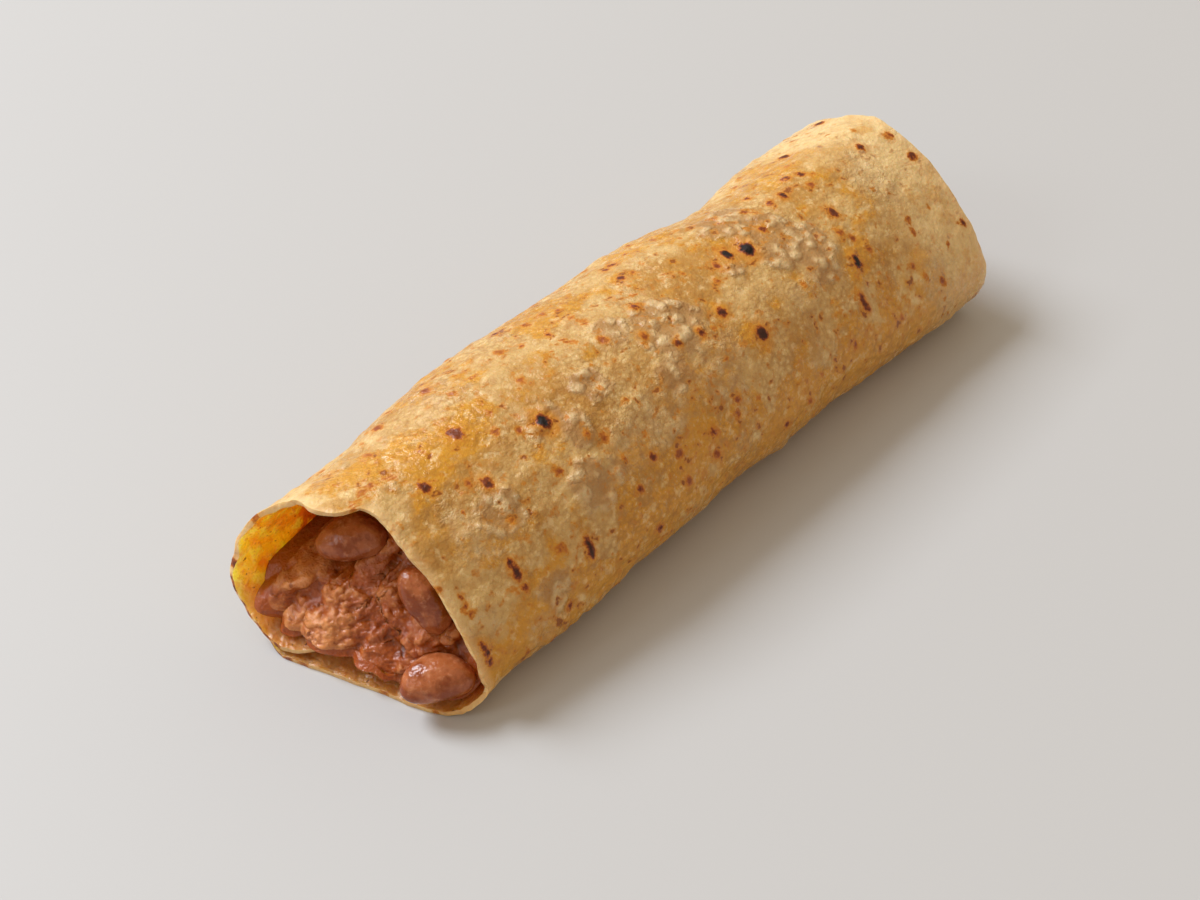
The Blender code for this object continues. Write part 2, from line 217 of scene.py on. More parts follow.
# Relief of the sheet: waves given by height and size, and where the sheet is free to swell
FREE_FROM = (0.06, 0.20)
FREE_TO = (0.97, 0.88)
SWELL_SIZE = 20.0
SWELL_LIFT = 0.2         # the swells stand out more than they sink in
WRINKLES = ((0.38, 5.5), (0.30, 2.4))
CREASE_SIZE = 11.0
CREASE_DEPTH = 0.3
CREASE_WIDTH = 0.10      # as a share of the noise they follow
CREASED_FLANK = (0.5, 0.8)   # turns between which the creases set in
RIM_REACH = 7.0          # how far from a rim the sheet is uneven and thinner
RIM_WAVES = ((0.6, 9.0), (0.2, 2.0))
PLAIN_THICKNESS = 0.84   # share of the sheet's thickness where nothing varies it
THICKNESS_WAVES = ((0.25, 4.0),)
RIM_THINNING = 0.30
EDGE_ROUNDING = 0.55     # width of the rounding along the sheet's edges
SHARP_EDGE = 55.0        # degrees from which an edge is rounded

# Lumps of the mash at the mouth, as in the CAD model but for the last value, which is how smooth
# each one is: middle (y, z), half length, half width, tilt in degrees, bulge, smoothness
MASH_LUMPS = (
    ((3.0, 6.8), 6.8, 5.4, 0.0, 4.8, 0.1),        # big low lump in the middle
    ((4.6, 13.6), 4.6, 3.6, 20.0, 3.2, 0.0),
    ((3.6, 18.6), 4.8, 3.9, 90.0, 4.4, 0.0),
    ((1.0, 22.5), 3.9, 3.4, 90.0, 4.0, 0.0),
    ((14.6, 13.4), 6.4, 2.2, 140.0, 3.4, 0.2),    # ridge up from the left
    ((18.0, 8.2), 3.6, 4.6, 0.0, 3.8, 0.8),       # buried bean at the left
    ((12.0, 5.6), 3.5, 3.4, 0.0, 3.6, 0.1),
    ((-3.0, 16.5), 3.0, 2.6, 60.0, 2.2, 0.0),
    ((-6.4, 13.4), 3.8, 3.1, 30.0, 3.2, 0.1),
    ((-13.0, 11.0), 4.5, 3.4, 10.0, 3.2, 0.1),
    ((-14.6, 12.4), 1.7, 1.7, 0.0, 4.2, 0.6),
    ((-5.4, 7.4), 3.0, 2.3, 20.0, 2.6, 0.0),
    ((-7.0, 4.2), 5.2, 3.9, 20.0, 5.0, 0.4),      # soft orange lump by the floor
    ((-12.4, 6.2), 2.4, 2.0, 0.0, 2.8, 0.0),
    ((-18.6, 14.0), 3.0, 3.0, 0.0, 3.0, 0.1),
    ((9.5, 16.5), 3.4, 2.0, 140.0, 2.2, 0.0),
)


def linear(code):
    """Linear colour of an sRGB hex value."""
    parts = (int(code[place:place + 2], 16) / 255.0 for place in (1, 3, 5))
    return tuple(part / 12.92 if part <= 0.04045 else ((part + 0.055) / 1.055) ** 2.4 for part in parts)


def smoothstep(low, high, value):
    share = min(max((value - low) / (high - low), 0.0), 1.0)
    return share * share * (3.0 - 2.0 * share)


def bump(value, middle, width):
    return math.exp(-((value - middle) / width) ** 2)


# Shape of the roll, as in the CAD model

def loop_point(points, turn):
    """Point of the closed Catmull-Rom curve through the points, once round for turn 0 to 1."""
    place = turn % 1.0 * len(points)
    first = int(place)
    part = place - first
    before, start, end, after = (
        Vector(points[(first + step) % len(points)]) for step in (-1, 0, 1, 2)
    )
    straight = (end - before) * part
    square = (2.0 * before - 5.0 * start + 4.0 * end - after) * part ** 2
    cube = (3.0 * start - before - 3.0 * end + after) * part ** 3
    return 0.5 * (2.0 * start + straight + square + cube)


def swelling(x, swells):
    return sum(height * bump(x, middle, half_length) for height, middle, half_length in swells)


def outline(x, turn):
    """(y, z) of the roll's outside at x, with its waist, its belly and its pinched mouth corner."""
    loops = (MOUTH_OUTLINE, MIDDLE_OUTLINE, SQUARE_OUTLINE)
    mouth, middle, square = (loop_point(points, turn) for points in loops)
    point = mouth.lerp(middle, smoothstep(*MOUTH_TO_MIDDLE, x))
    point = point.lerp(square, smoothstep(*MIDDLE_TO_SQUARE, x))
    shoulder = smoothstep(-15.0, 20.0, point.x) * smoothstep(5.0, 25.0, point.y)
    corner = smoothstep(-22.0, -28.0, point.x) * smoothstep(14.0, 6.0, point.y)
    point.x += shoulder * swelling(x, SHOULDER_SWELLS) + corner * swelling(x, CORNER_SWELLS)
    point.y = max(point.y, 0.0)
    return point


def inset(x, turn, depth):
    """The outline's point moved into the roll by depth."""
    along = (outline(x, turn + SLOPE_STEP) - outline(x, turn - SLOPE_STEP)).normalized()
    return outline(x, turn) + depth * Vector((-along.y, along.x))


def slanted_mouth(point):
    return MOUTH_X + MOUTH_RISE * point.y - MOUTH_SLANT * point.x


def mouth_rim(point):
    """x of the mouth rim at a (y, z) point: the slanted plane with the crown's tongue."""
    tongue = TONGUE * bump(point.x, 6.5, 6.0) * smoothstep(25.0, 32.0, point.y)
    return slanted_mouth(point) - tongue


def feathered(turn):
    """Share of the full thickness left in the outer ply, which thins towards its end."""
    return 0.3 + 0.7 * smoothstep(OUTER_EDGE, OUTER_EDGE - FEATHER, turn)


def ply_lift(turn):
    """How far the sheet lies inside the outline where it rests on its own outer ply."""
    over = SHEET * feathered(turn) + PLY_GAP
    return over * (1.0 - smoothstep(OUTER_EDGE, OUTER_EDGE + PLY_RUN, turn))


def drawn_back(turn):
    """How far the rims draw back near both ends of the sheet, because it was cut round."""
    end = 1.0 + OUTER_EDGE
    at_start, at_end = smoothstep(0.06, 0.0, turn), smoothstep(end - 0.05, end, turn)
    return START_RECESS * at_start + END_RECESS_SHEET * at_end


def rim_at(turn):
    """x of the mouth rim along the sheet."""
    rim = mouth_rim(loop_point(MOUTH_OUTLINE, turn)) - PLY_SHIFT * smoothstep(0.95, 1.05, turn)
    start, deepest, end = NOTCH
    notch = NOTCH_DEPTH * smoothstep(start, deepest, turn) * smoothstep(end, deepest, turn)
    shifts = sum(shift * bump(turn, middle, half) for middle, half, shift in RIM_SHIFTS)
    return rim + drawn_back(turn) + notch + shifts


def sheet_point(x, turn):
    """Point on the outer side of the tortilla."""
    point = inset(x, turn, ply_lift(turn))
    return Vector((x, point.x, point.y))


def wall_depth(turn):
    """Depth of the filling's skin under the outline: one ply, or two over the seam."""
    turn = (turn + 0.5) % 1.0 - 0.5
    over_inner = smoothstep(-2.0, -1.0, turn * TURN_STEPS)
    return SHEET + SKIN_GAP + over_inner * ply_lift(turn)


def lumps(point, side):
    return LUMP_HEIGHT * noise.noise(Vector((point.x, point.y, side)) / LUMP_SIZE)


def lump_at(point):
    """Bulge of the listed lumps at a (y, z) point of the mouth face, and how smooth it is."""
    best, best_smooth, joined = 0.0, 0.0, 0.0
    for middle, half_length, half_width, tilt, bulge, smoothness in MASH_LUMPS:
        away = Matrix.Rotation(-math.radians(tilt), 2) @ (point - Vector(middle))
        away = Vector((away.x / half_length, away.y / half_width)).length
        height = bulge * max(0.0, 1.0 - away ** 2) ** 0.6
        joint = 0.3 * min(joined, height) * smoothstep(LUMP_JOINT, 0.0, abs(joined - height))
        joined = max(joined, height) + joint
        if height > best:
            best, best_smooth = height, smoothness * smoothstep(1.0, 0.8, away)
    return joined, best_smooth


def slumped(point):
    """Share of the slump at a (y, z) point of the mouth face, high up by the left wall."""
    return smoothstep(6.0, 13.0, point.x) * smoothstep(13.0, 18.5, point.y)


def mouth_face(point):
    """x of the filling's front: lumps on an undercut foot, a hollow under crown and left wall."""
    foot = FOOT_RECESS * smoothstep(2.0, 15.0, point.x) * smoothstep(8.0, 3.0, point.y)
    groove = GROOVE * smoothstep(2.0, 6.0, point.y)
    hollow = CROWN_HOLLOW * smoothstep(7.0, 27.0, point.y)
    slump = LEFT_SLUMP * slumped(point)
    wander = LUMP_WANDER * noise.noise_vector(Vector((point.x, point.y, 0.0)) / LUMP_WANDER_SIZE).xy
    bulge = lump_at(point + wander)[0]
    return slanted_mouth(point) + MOUTH_RECESS + groove + foot + hollow + slump - bulge


def end_face(point):
    return SQUARE_END_X - END_RECESS - END_LEAN * point.y + lumps(point, SQUARE_END_X)


@functools.cache
def filling_ends(turn):
    """Depth of the filling's skin at a turn, and x of its front and back edge there."""
    depth = wall_depth(turn)
    front = mouth_face(inset(MOUTH_TO_MIDDLE[0], turn, depth))
    return depth, front, end_face(inset(MIDDLE_TO_SQUARE[1], turn, depth))


def filling_point(ring, turn):
    """Point on the filling, ring by ring from the middle of one face to the middle of the other."""
    depth, front, back = filling_ends(turn)
    if ring <= FACE_RINGS:
        point = CORE.lerp(inset(front, turn, depth), ring / FACE_RINGS)
        return Vector((mouth_face(point), point.x, point.y))
    if ring >= FACE_RINGS + WALL_RINGS:
        share = (FACE_RINGS + WALL_RINGS + BACK_RINGS - ring) / BACK_RINGS
        point = CORE.lerp(inset(back, turn, depth), share)
        return Vector((end_face(point), point.x, point.y))
    x = front + (back - front) * (ring - FACE_RINGS) / WALL_RINGS
    point = inset(x, turn, depth)
    return Vector((x, point.x, point.y))


# Shared work

def add_piece(name, shape, slot, *nodes):
    """Turn a bmesh in millimetres into a piece in metres that stands for the CAD nodes."""
    bmesh.ops.scale(shape, vec=(MM,) * 3, verts=shape.verts)
    mesh = bpy.data.meshes.new(name)
    shape.to_mesh(mesh)
    shape.free()
    mesh.shade_smooth()
    piece = bpy.data.objects.new(name, mesh)
    bpy.context.scene.collection.objects.link(piece)
    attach(piece, BODY)
    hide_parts(*nodes)
    return piece


def fill_inputs(tree, node, inputs):
    """Link each input to another node's output, or give it its value."""
    for place, value in inputs.items():
        socket = node.inputs[place]
        if isinstance(value, bpy.types.NodeSocket):
            tree.links.new(value, socket)
        elif socket.type == "RGBA":
            socket.default_value = (*value, 1.0)
        else:
            socket.default_value = value


def add_node(tree, kind, inputs, output=0, stops=(), **settings):
    """Add a shader node with its settings, links and ramp colours, and return one of its outputs."""
    node = tree.nodes.new("ShaderNode" + kind)
    for name, value in settings.items():
        setattr(node, name, value)
    fill_inputs(tree, node, inputs)
    for number, (place, colour) in enumerate(stops):
        ramp = node.color_ramp.elements
        stop = ramp[number] if number < 2 else ramp.new(place)
        stop.position = place
        stop.color = (*colour, 1.0)
    return node.outputs[output]


def new_material(name):
    """An empty material: its node tree, its shader and the piece's Object coordinates."""
    material = bpy.data.materials.new(name)
    material.use_nodes = True
    tree = material.node_tree
    return material, tree, tree.nodes["Principled BSDF"], add_node(tree, "TexCoord", {}, "Object")


def scale_for(size):
    """Texture scale at which a pattern's features are about size millimetres."""
    return 1.0 / (size * MM)


def lay_colours(tree, colour, layers):
    """Lay colours on each other, each as far as its share where its pattern goes from low to high."""
    for pattern, low, high, share, over in layers:
        part = add_node(tree, "MapRange", {"Value": pattern, "From Min": low, "From Max": high,
                                           "To Max": share}, interpolation_type="SMOOTHSTEP")
        colour = add_node(tree, "Mix", {0: part, 6: colour, 7: over}, 2, data_type="RGBA")
    return colour


def finish_surface(tree, shader, colour, roughness, dull, rises, inputs):
    """Give the shader its colour, its roughness with what patterns add to it, and its relief.

    A pattern in dull has a weight, one in rises a height in millimetres. Inputs are the rest.
    """
    for pattern, weight in dull:
        roughness = add_node(tree, "Math", {0: pattern, 1: weight, 2: roughness}, operation="MULTIPLY_ADD")
    height = 0.0
    for pattern, rise in rises:
        height = add_node(tree, "Math", {0: pattern, 1: rise * MM, 2: height}, operation="MULTIPLY_ADD")
    normal = add_node(tree, "Bump", {"Strength": 1.0, "Distance": 1.0, "Height": height})
    fill_inputs(tree, shader, {"Base Color": colour, "Roughness": roughness, "Normal": normal})
    fill_inputs(tree, shader, inputs)


# Tortilla

def stretched(point):
    """The point with the roll stretched along X, where the marks, short along the roll, are round."""
    return Vector((point.x * MARK_STRETCH, point.y, point.z))


def ripples(point, waves):
    """Height of waves at a point, each wave given by its own height and its size."""
    return sum(height * noise.noise(point / size) for height, size in waves)


def mark_tree(generator):
    """The toast marks as points on the sheet, with radius and tone of each, and small random ones."""
    marks = [(sheet_point(x, turn), radius, tone) for x, turn, radius, tone in TOAST_MARKS]
    for x, turn, radius, tone, reach in LONG_MARKS:
        for place in (turn - reach, turn, turn + reach):
            marks.append((sheet_point(x, place), radius, tone))
    for turn, radius, tone in RIM_MARKS:
        marks.append((sheet_point(rim_at(turn) + 0.3, turn), radius, tone))
    least, more = SMALL_MARK_RADII
    for count in range(SMALL_MARKS):
        turn = generator.uniform(0.0, 1.0)
        x = generator.uniform(MOUTH_X + 6.0, SQUARE_END_X)
        radius = least + more * generator.random() ** 3
        tone = generator.uniform(*SMALL_MARK_TONES)
        if turn > 0.58 and generator.random() < 0.5:
            continue
        marks.append((sheet_point(x, turn), radius, tone))
    tree = kdtree.KDTree(len(marks))
    for number, (point, radius, tone) in enumerate(marks):
        tree.insert(stretched(point), number)
    tree.balance()
    return tree, marks


def nearest_mark(point, tree, marks):
    """Distance to the nearest mark's edge (under zero inside), its tone, and the glow round marks."""
    ragged = point + 0.5 * noise.noise_vector(point / 2.0)
    best, best_tone, glow = MARK_REACH, 0.0, 0.0
    for place, number, distance in tree.find_n(stretched(ragged), MARKS_NEAR):
        middle, radius, tone = marks[number]
        edge = distance - radius
        glow = max(glow, tone * smoothstep(GLOW_REACH * (0.3 + radius), 0.0, edge))
        if edge < best:
            best, best_tone = edge, tone
    return best, best_tone, glow


def spread(point, patches, edge):
    """How far a point lies in the nearest of the patches, from 0 to the patch's strength."""
    best = 0.0
    wander = 2.4 * noise.noise(point / 3.4)
    for middle, radius, strength in patches:
        distance = (point - middle).length + wander
        best = max(best, strength * smoothstep(radius + edge, radius - edge, distance))
    return best


def domes(point, size, steepness=0.5):
    """Round lumps of about the size, 0 between them and 1 on top; a low steepness has steep sides."""
    nearest = noise.voronoi(point / size)[0][0]
    return max(0.0, 1.0 - (nearest / 0.80) ** 2) ** steepness


def blister_at(point, clusters):
    """How crusty the sheet is at a point, and the height of the crust's pebbles, both from 0 to 1."""
    light = 0.45 * smoothstep(0.12, 0.45, noise.noise(point / 12.0))
    crust = max(spread(point, clusters, 1.5), light)
    if crust == 0.0:
        return 0.0, 0.0
    bent = point + 1.3 * noise.noise_vector(point / 2.6)
    pebble = domes(bent, PEBBLE_SIZE) * (0.55 + 0.45 * noise.cell(bent / PEBBLE_SIZE))
    return crust, crust * max(0.0, pebble + 0.25 * noise.noise(point / 1.3))


class TortillaSettings(bpy.types.PropertyGroup):
    thickness: bpy.props.FloatProperty(
        name="Thickness", description="Thickness of the sheet",
        default=SHEET * MM, unit="LENGTH", precision=4)
    waviness: bpy.props.FloatProperty(
        name="Waviness", description="Height of the sheet's broad swells", default=0.7 * MM, unit="LENGTH",
        precision=4)
    blister_height: bpy.props.FloatProperty(
        name="Blister height", description="Height of the flaky blisters", default=0.85 * MM, unit="LENGTH",
        precision=4)
    dough: bpy.props.FloatVectorProperty(
        name="Dough", description="Colour of the plain cooked dough", subtype="COLOR",
        default=linear("#dfbb7a"))
    # Also painted onto the lower right flank as shade
    gold: bpy.props.FloatVectorProperty(
        name="Gold", description="Colour where the oil has soaked in", subtype="COLOR",
        default=linear("#d3962c"))
    blister: bpy.props.FloatVectorProperty(
        name="Blister", description="Colour of the dry blisters", subtype="COLOR",
        default=linear("#e2c798"))
    toast: bpy.props.FloatVectorProperty(
        name="Toast", description="Colour of the brown toast marks", subtype="COLOR",
        default=linear("#8c3f10"))
    char: bpy.props.FloatVectorProperty(
        name="Char", description="Colour of the burnt spots", subtype="COLOR", default=linear("#170b07"))
    # Partly the oil's colour, partly a painted glow standing for light shining through the wall
    oil_and_painted_light: bpy.props.FloatVectorProperty(
        name="Oil and painted glow inside", description="Colour of the oily inside at the rims", subtype="COLOR",
        default=linear("#ffae2c"))
    floor: bpy.props.FloatVectorProperty(
        name="Inside floor", description="Colour of the inside where the roll rests", subtype="COLOR",
        default=linear("#d0864c"))
    # Partly oil stain, partly painted shade deeper into the mouth
    stain_and_painted_shade: bpy.props.FloatVectorProperty(
        name="Stain and painted shade inside", description="Colour of the inside where it meets the filling",
        subtype="COLOR",
        default=linear("#b9661c"))


def griddled_tortilla(settings):
    """Wheat tortilla, cooked on a griddle: dull cream dough with golden oily parts, brown marks, and a gold
    tint painted on the lower right flank as shade.
    """
    material, tree, shader, where = new_material("griddled_wheat_tortilla")
    broad, soak, fine, grain, ragged, freckle, patch, bend, string = (
        add_node(tree, "TexNoise", {"Vector": where, "Scale": scale_for(size), "Detail": detail,
                                    "Roughness": rough})
        for size, detail, rough in (
            (16.0, 3.0, 0.5), (8.0, 4.0, 0.6), (2.6, 5.0, 0.65), (0.8, 3.0, 0.6), (1.6, 3.0, 0.6),
            (2.0, 2.0, 0.5), (13.0, 2.0, 0.5), (1.7, 2.0, 0.5), (14.0, 1.0, 0.5),
        )
    )
    blister, edge, tone, glow, oil_and_painted_light, rim = (
        add_node(tree, "Attribute", {}, "Fac", attribute_name=name)
        for name in ("blister", "mark_edge", "mark_tone", "mark_glow", "oil_and_painted_light", "from_rim")
    )

    # Crumbs all over, and flakes with crevices between them where the dough blistered, the crevices darkened
    # with painted shade
    bent = add_node(tree, "VectorMath", {0: bend, 1: (1.6 * MM, -1.3 * MM, 1.9 * MM), 2: where},
                    operation="MULTIPLY_ADD")
    crumb = add_node(tree, "TexVoronoi", {"Vector": bent, "Scale": scale_for(1.2)}, "Distance")
    flake = add_node(tree, "TexVoronoi", {"Vector": bent, "Scale": scale_for(3.0), "Smoothness": 0.5},
                     "Distance", feature="SMOOTH_F1")
    flake = add_node(tree, "MapRange", {"Value": flake, "From Min": 0.62, "From Max": 0.10})
    crusty = add_node(tree, "Math", {0: ragged, 1: 0.9, 2: blister}, operation="MULTIPLY_ADD")
    crusty = add_node(tree, "MapRange", {"Value": crusty, "From Min": 0.55, "From Max": 1.20})
    flake = add_node(tree, "Math", {0: flake, 1: crusty}, operation="MULTIPLY")
    crevice_shade = add_node(tree, "Math", {0: crusty, 1: flake}, operation="SUBTRACT")

    # Coarser dough in places, smoother near the rims
    coarse = add_node(tree, "MapRange", {"Value": patch, "From Min": 0.40, "From Max": 0.60, "To Min": 0.15,
                                         "To Max": 0.50})
    inner = add_node(tree, "MapRange", {"Value": rim, "From Min": 3.0, "From Max": 22.0, "To Min": 0.35})
    coarse = add_node(tree, "Math", {0: coarse, 1: inner}, operation="MULTIPLY")
    gritty = add_node(tree, "Math", {0: grain, 1: coarse}, operation="MULTIPLY")

    # More toasted round the middle of the roll, paler at the square end
    along = add_node(tree, "SeparateXYZ", {0: where}, "X")
    from_middle = add_node(tree, "Math", {0: along, 1: 8.0 * MM}, operation="ADD")
    from_middle = add_node(tree, "Math", {0: from_middle}, operation="ABSOLUTE")

    # Oil that soaked in, with painted shade along the lower right flank carried in the same mask and tinted
    # gold, and freckles that are denser near the marks and along fine veins
    vein = add_node(tree, "Math", {0: string, 1: 0.5, 2: 0.035}, operation="COMPARE")
    oil, spots = soak, freckle
    for pattern, weight in ((oil_and_painted_light, 0.24), (glow, 0.10)):
        oil = add_node(tree, "Math", {0: pattern, 1: weight, 2: oil}, operation="MULTIPLY_ADD")
    for pattern, weight in ((glow, 0.14), (oil_and_painted_light, 0.02), (vein, 0.07)):
        spots = add_node(tree, "Math", {0: pattern, 1: weight, 2: spots}, operation="MULTIPLY_ADD")
    colour = lay_colours(tree, settings.dough, (
        (broad, 0.44, 0.60, 0.9, linear("#c28f42")),
        (from_middle, 0.080, 0.052, 0.28, linear("#a5702a")),
        # gold where the oil soaked in, and painted shade along the lower right flank
        (oil, 0.53, 0.68, 0.92, settings.gold),
        (fine, 0.50, 0.68, 0.42, linear("#ae7430")),
        (fine, 0.47, 0.34, 0.50, linear("#edd29c")),
        (crumb, 0.40, 0.75, coarse, linear("#a5702e")),
        (crumb, 0.30, 0.05, coarse, linear("#efd7a4")),
        (grain, 0.58, 0.70, 0.30, linear("#a56c2c")),
        (crusty, 0.0, 1.0, 0.50, linear("#c4a070")),
        # painted shade in the crevices between flakes
        (crevice_shade, 0.40, 0.90, 0.45, linear("#9c6832")),
        (flake, 0.10, 0.80, 0.55, settings.blister),
        (glow, 0.10, 0.90, 0.72, linear("#d08a26")),
        (spots, 0.60, 0.72, 0.75, linear("#c57f26")),
        (spots, 0.71, 0.79, 0.80, linear("#86430f")),
        (along, 0.066, 0.084, 0.35, linear("#ecd09a")),
        (rim, 2.5, 0.2, 0.45, linear("#f0cf98")),
    ))

    # Toast marks with ragged edges, golden outside and charred in the middle of the darkest
    for pattern, weight in ((ragged, 1.3), (grain, 1.1)):
        edge = add_node(tree, "Math", {0: pattern, 1: weight, 2: edge}, operation="MULTIPLY_ADD")
    heat = add_node(tree, "MapRange", {"Value": edge, "From Min": 2.35, "From Max": 0.80},
                    interpolation_type="SMOOTHSTEP")
    heat = add_node(tree, "Math", {0: heat, 1: tone}, operation="MULTIPLY")
    scorch = add_node(tree, "ValToRGB", {0: heat}, stops=(
        (0.05, linear("#d08f2e")), (0.30, linear("#bd701c")), (0.52, settings.toast),
        (0.78, linear("#54220a")), (0.94, settings.char),
    ))
    colour = lay_colours(tree, colour, ((heat, 0.02, 0.20, 1.0, scorch),))
    roughness = add_node(tree, "MapRange", {"Value": oil, "From Min": 0.50, "From Max": 0.72, "To Min": 0.36,
                                            "To Max": 0.09})
    finish_surface(
        tree, shader, colour, roughness, dull=((grain, 0.12), (heat, 0.35)),
        rises=((fine, 0.48), (crumb, -0.12), (gritty, 0.40), (flake, 0.60)),
        inputs={"IOR": 1.42, "Subsurface Weight": 0.3, "Subsurface Radius": (1.0, 0.6, 0.3),
                "Subsurface Scale": 1.4 * MM},
    )
    return material


def inside_tortilla_painted_light(settings):
    """Wheat tortilla soaked with orange bean oil: glossy and yellow on the wall, partly a painted glow of
    light shining through the sheet, and amber further in, partly painted shade.
    """
    material, tree, shader, where = new_material("oil_soaked_wheat_tortilla_painted_light")
    depth = add_node(tree, "Attribute", {}, "Fac", attribute_name="from_rim")
    up = add_node(tree, "SeparateXYZ", {0: where}, "Z")
    broad, curd, fine, speck = (
        add_node(tree, "TexNoise", {"Vector": where, "Scale": scale_for(size), "Detail": detail,
                                    "Roughness": rough})
        for size, detail, rough in ((7.0, 4.0, 0.6), (3.0, 2.0, 0.5), (1.5, 4.0, 0.6), (1.3, 2.0, 0.5))
    )
    # Along the depth from the rim: the bright wall colour is in part a painted glow of light shining through
    # the sheet
    soaked = add_node(tree, "Math", {0: broad, 1: 16.0, 2: depth}, operation="MULTIPLY_ADD")
    wall = lay_colours(tree, linear("#ecc57c"), (
        (soaked, 8.0, 12.0, 1.0, settings.oil_and_painted_light),
        # amber deeper in: oil stain and painted shade
        (soaked, 20.0, 27.0, 1.0, settings.stain_and_painted_shade),
        (curd, 0.48, 0.36, 0.5, linear("#cf6f0e")),
        (curd, 0.52, 0.62, 0.8, linear("#ffcc52")),
    ))
    colour = lay_colours(tree, settings.floor, (
        # The painted glow goes on the wall only, above the floor
        (up, 0.004, 0.013, 1.0, wall),
        (fine, 0.52, 0.68, 0.6, linear("#bb651f")),
        (speck, 0.68, 0.73, 0.85, linear("#6b3410")),
    ))
    finish_surface(
        tree, shader, colour, 0.28, dull=(), rises=((broad, 0.5), (curd, 1.2), (fine, 0.4)),
        inputs={"IOR": 1.45, "Subsurface Weight": 0.9, "Subsurface Radius": (1.0, 0.78, 0.22),
                "Subsurface Scale": 7.0 * MM},
    )
    return material


class MakeTortilla(bpy.types.Operator):
    """Bend a flat sheet into the roll, with swells, blisters, toast marks and uneven soft rims"""
    bl_idname = "enchilada.make_tortilla"
    bl_label = "Make Tortilla"

    def execute(self, context):
        settings = context.scene.enchilada_tortilla
        generator = random.Random(7)
        tree, marks = mark_tree(generator)
        clusters, patches = (
            [(sheet_point(x, turn), radius, strength) for x, turn, radius, strength in places]
            for places in (BLISTER_CLUSTERS, OIL_AND_FLANK_SHADE_PATCHES)
        )
        shape = bmesh.new()
        bmesh.ops.create_grid(shape, x_segments=SHEET_STEPS_LONG, y_segments=SHEET_STEPS_ROUND, size=0.5)
        layers = shape.verts.layers
        mark_edge, mark_tone, mark_glow, blister, oil_and_painted_light, from_rim = (
            layers.float.new(name)
            for name in ("mark_edge", "mark_tone", "mark_glow", "blister", "oil_and_painted_light", "from_rim")
        )
        weights = layers.deform.verify()
        turns = {}
        for vertex in shape.verts:
            share = vertex.co.x + 0.5
            turn = (vertex.co.y + 0.5) * (1.0 + OUTER_EDGE)
            rim, end = rim_at(turn), SQUARE_END_X - drawn_back(turn)
            x = rim + share * (end - rim)
            turns[vertex] = turn
            vertex.co = sheet_point(x, turn)
            vertex[from_rim] = min(x - rim, end - x)
        bmesh.ops.reverse_faces(shape, faces=shape.faces)
        shape.normal_update()
        for vertex in shape.verts:
            point, turn = vertex.co.copy(), turns[vertex]
            free = smoothstep(*FREE_FROM, turn) * smoothstep(*FREE_TO, turn)
            edge, tone, glow = nearest_mark(point, tree, marks)
            crust, pebble = blister_at(point, clusters)
            vertex[mark_edge], vertex[mark_tone], vertex[mark_glow] = edge, tone, glow
            vertex[blister] = crust
            # Oil patches, with painted shade along the lower right flank in the same mask
            vertex[oil_and_painted_light] = max(spread(point, patches, 4.0), smoothstep(*OIL_AND_SHADE_FLANK, turn))
            wave = settings.waviness / MM * (noise.noise(point / SWELL_SIZE) + SWELL_LIFT)
            crease = smoothstep(CREASE_WIDTH, 0.0, abs(noise.noise(point / CREASE_SIZE)))
            crease *= smoothstep(*CREASED_FLANK, turn)
            wrinkle = ripples(point, WRINKLES) - CREASE_DEPTH * crease
            raised = MARK_RISE * tone * smoothstep(1.5, -0.8, edge) + settings.blister_height / MM * pebble
            vertex.co += free * (wave + wrinkle + raised) * vertex.normal
            at_rim = smoothstep(RIM_REACH, 0.0, vertex[from_rim])
            vertex.co.x += at_rim * ripples(point, RIM_WAVES)
            vertex.co.z = max(vertex.co.z, 0.0)
            thick = min(1.0, PLAIN_THICKNESS + ripples(point, THICKNESS_WAVES)) - RIM_THINNING * at_rim
            vertex[weights][0] = thick * (feathered(turn - 1.0) if turn > 1.0 else 1.0)
        piece = add_piece("tortilla_sheet", shape, "tortilla", "tortilla")
        piece.vertex_groups.new(name="thickness")
        outside, inside = griddled_tortilla(settings), inside_tortilla_painted_light(settings)
        piece.data.materials.append(outside)
        piece.data.materials.append(inside)
        solid = piece.modifiers.new("thickness", "SOLIDIFY")
        solid.thickness = settings.thickness
        solid.offset = -1.0
        solid.vertex_group = "thickness"
        solid.material_offset = 1
        soft = piece.modifiers.new("soft_rim", "BEVEL")
        soft.width = EDGE_ROUNDING * MM
        soft.segments = 3
        soft.limit_method = "ANGLE"
        soft.angle_limit = math.radians(SHARP_EDGE)
        return {"FINISHED"}


# Beans, whose skin has broad dents, fine creases along the bean and an eye on the hollow side

DENT_HEIGHT, DENT_SIZE = 0.35, 4.5
SKIN_CREASE_HEIGHT, SKIN_CREASE_SIZE = 0.18, 1.6
SKIN_CREASE_STRETCH = 3.0
EYE_DEPTH = 0.5
SKIN_SHRINKAGE = 0.15    # keeps the relief within the CAD model's bean


def bean_frame(name):
    """Place and turn of a bean, in millimetres."""
    middle, direction = BEANS[name]
    turn = Vector(direction).to_track_quat("X", "Z").to_matrix().to_4x4()
    return Matrix.Translation(middle) @ turn


class BeanSettings(bpy.types.PropertyGroup):
    length: bpy.props.FloatProperty(
        name="Length", description="Length of a bean", default=BEAN_LENGTH * MM, unit="LENGTH", precision=4)
    width: bpy.props.FloatProperty(
        name="Width", description="Width of a bean", default=BEAN_WIDTH * MM, unit="LENGTH", precision=4)
    thickness: bpy.props.FloatProperty(
        name="Thickness", description="Thickness of a bean", default=BEAN_THICKNESS * MM, unit="LENGTH",
        precision=4)
    skin: bpy.props.FloatVectorProperty(
        name="Skin", description="Colour of the bean skin", subtype="COLOR", default=linear("#ac6238"))
    streak: bpy.props.FloatVectorProperty(
        name="Streaks", description="Colour of the darker streaks of the skin", subtype="COLOR",
        default=linear("#8a4018"))


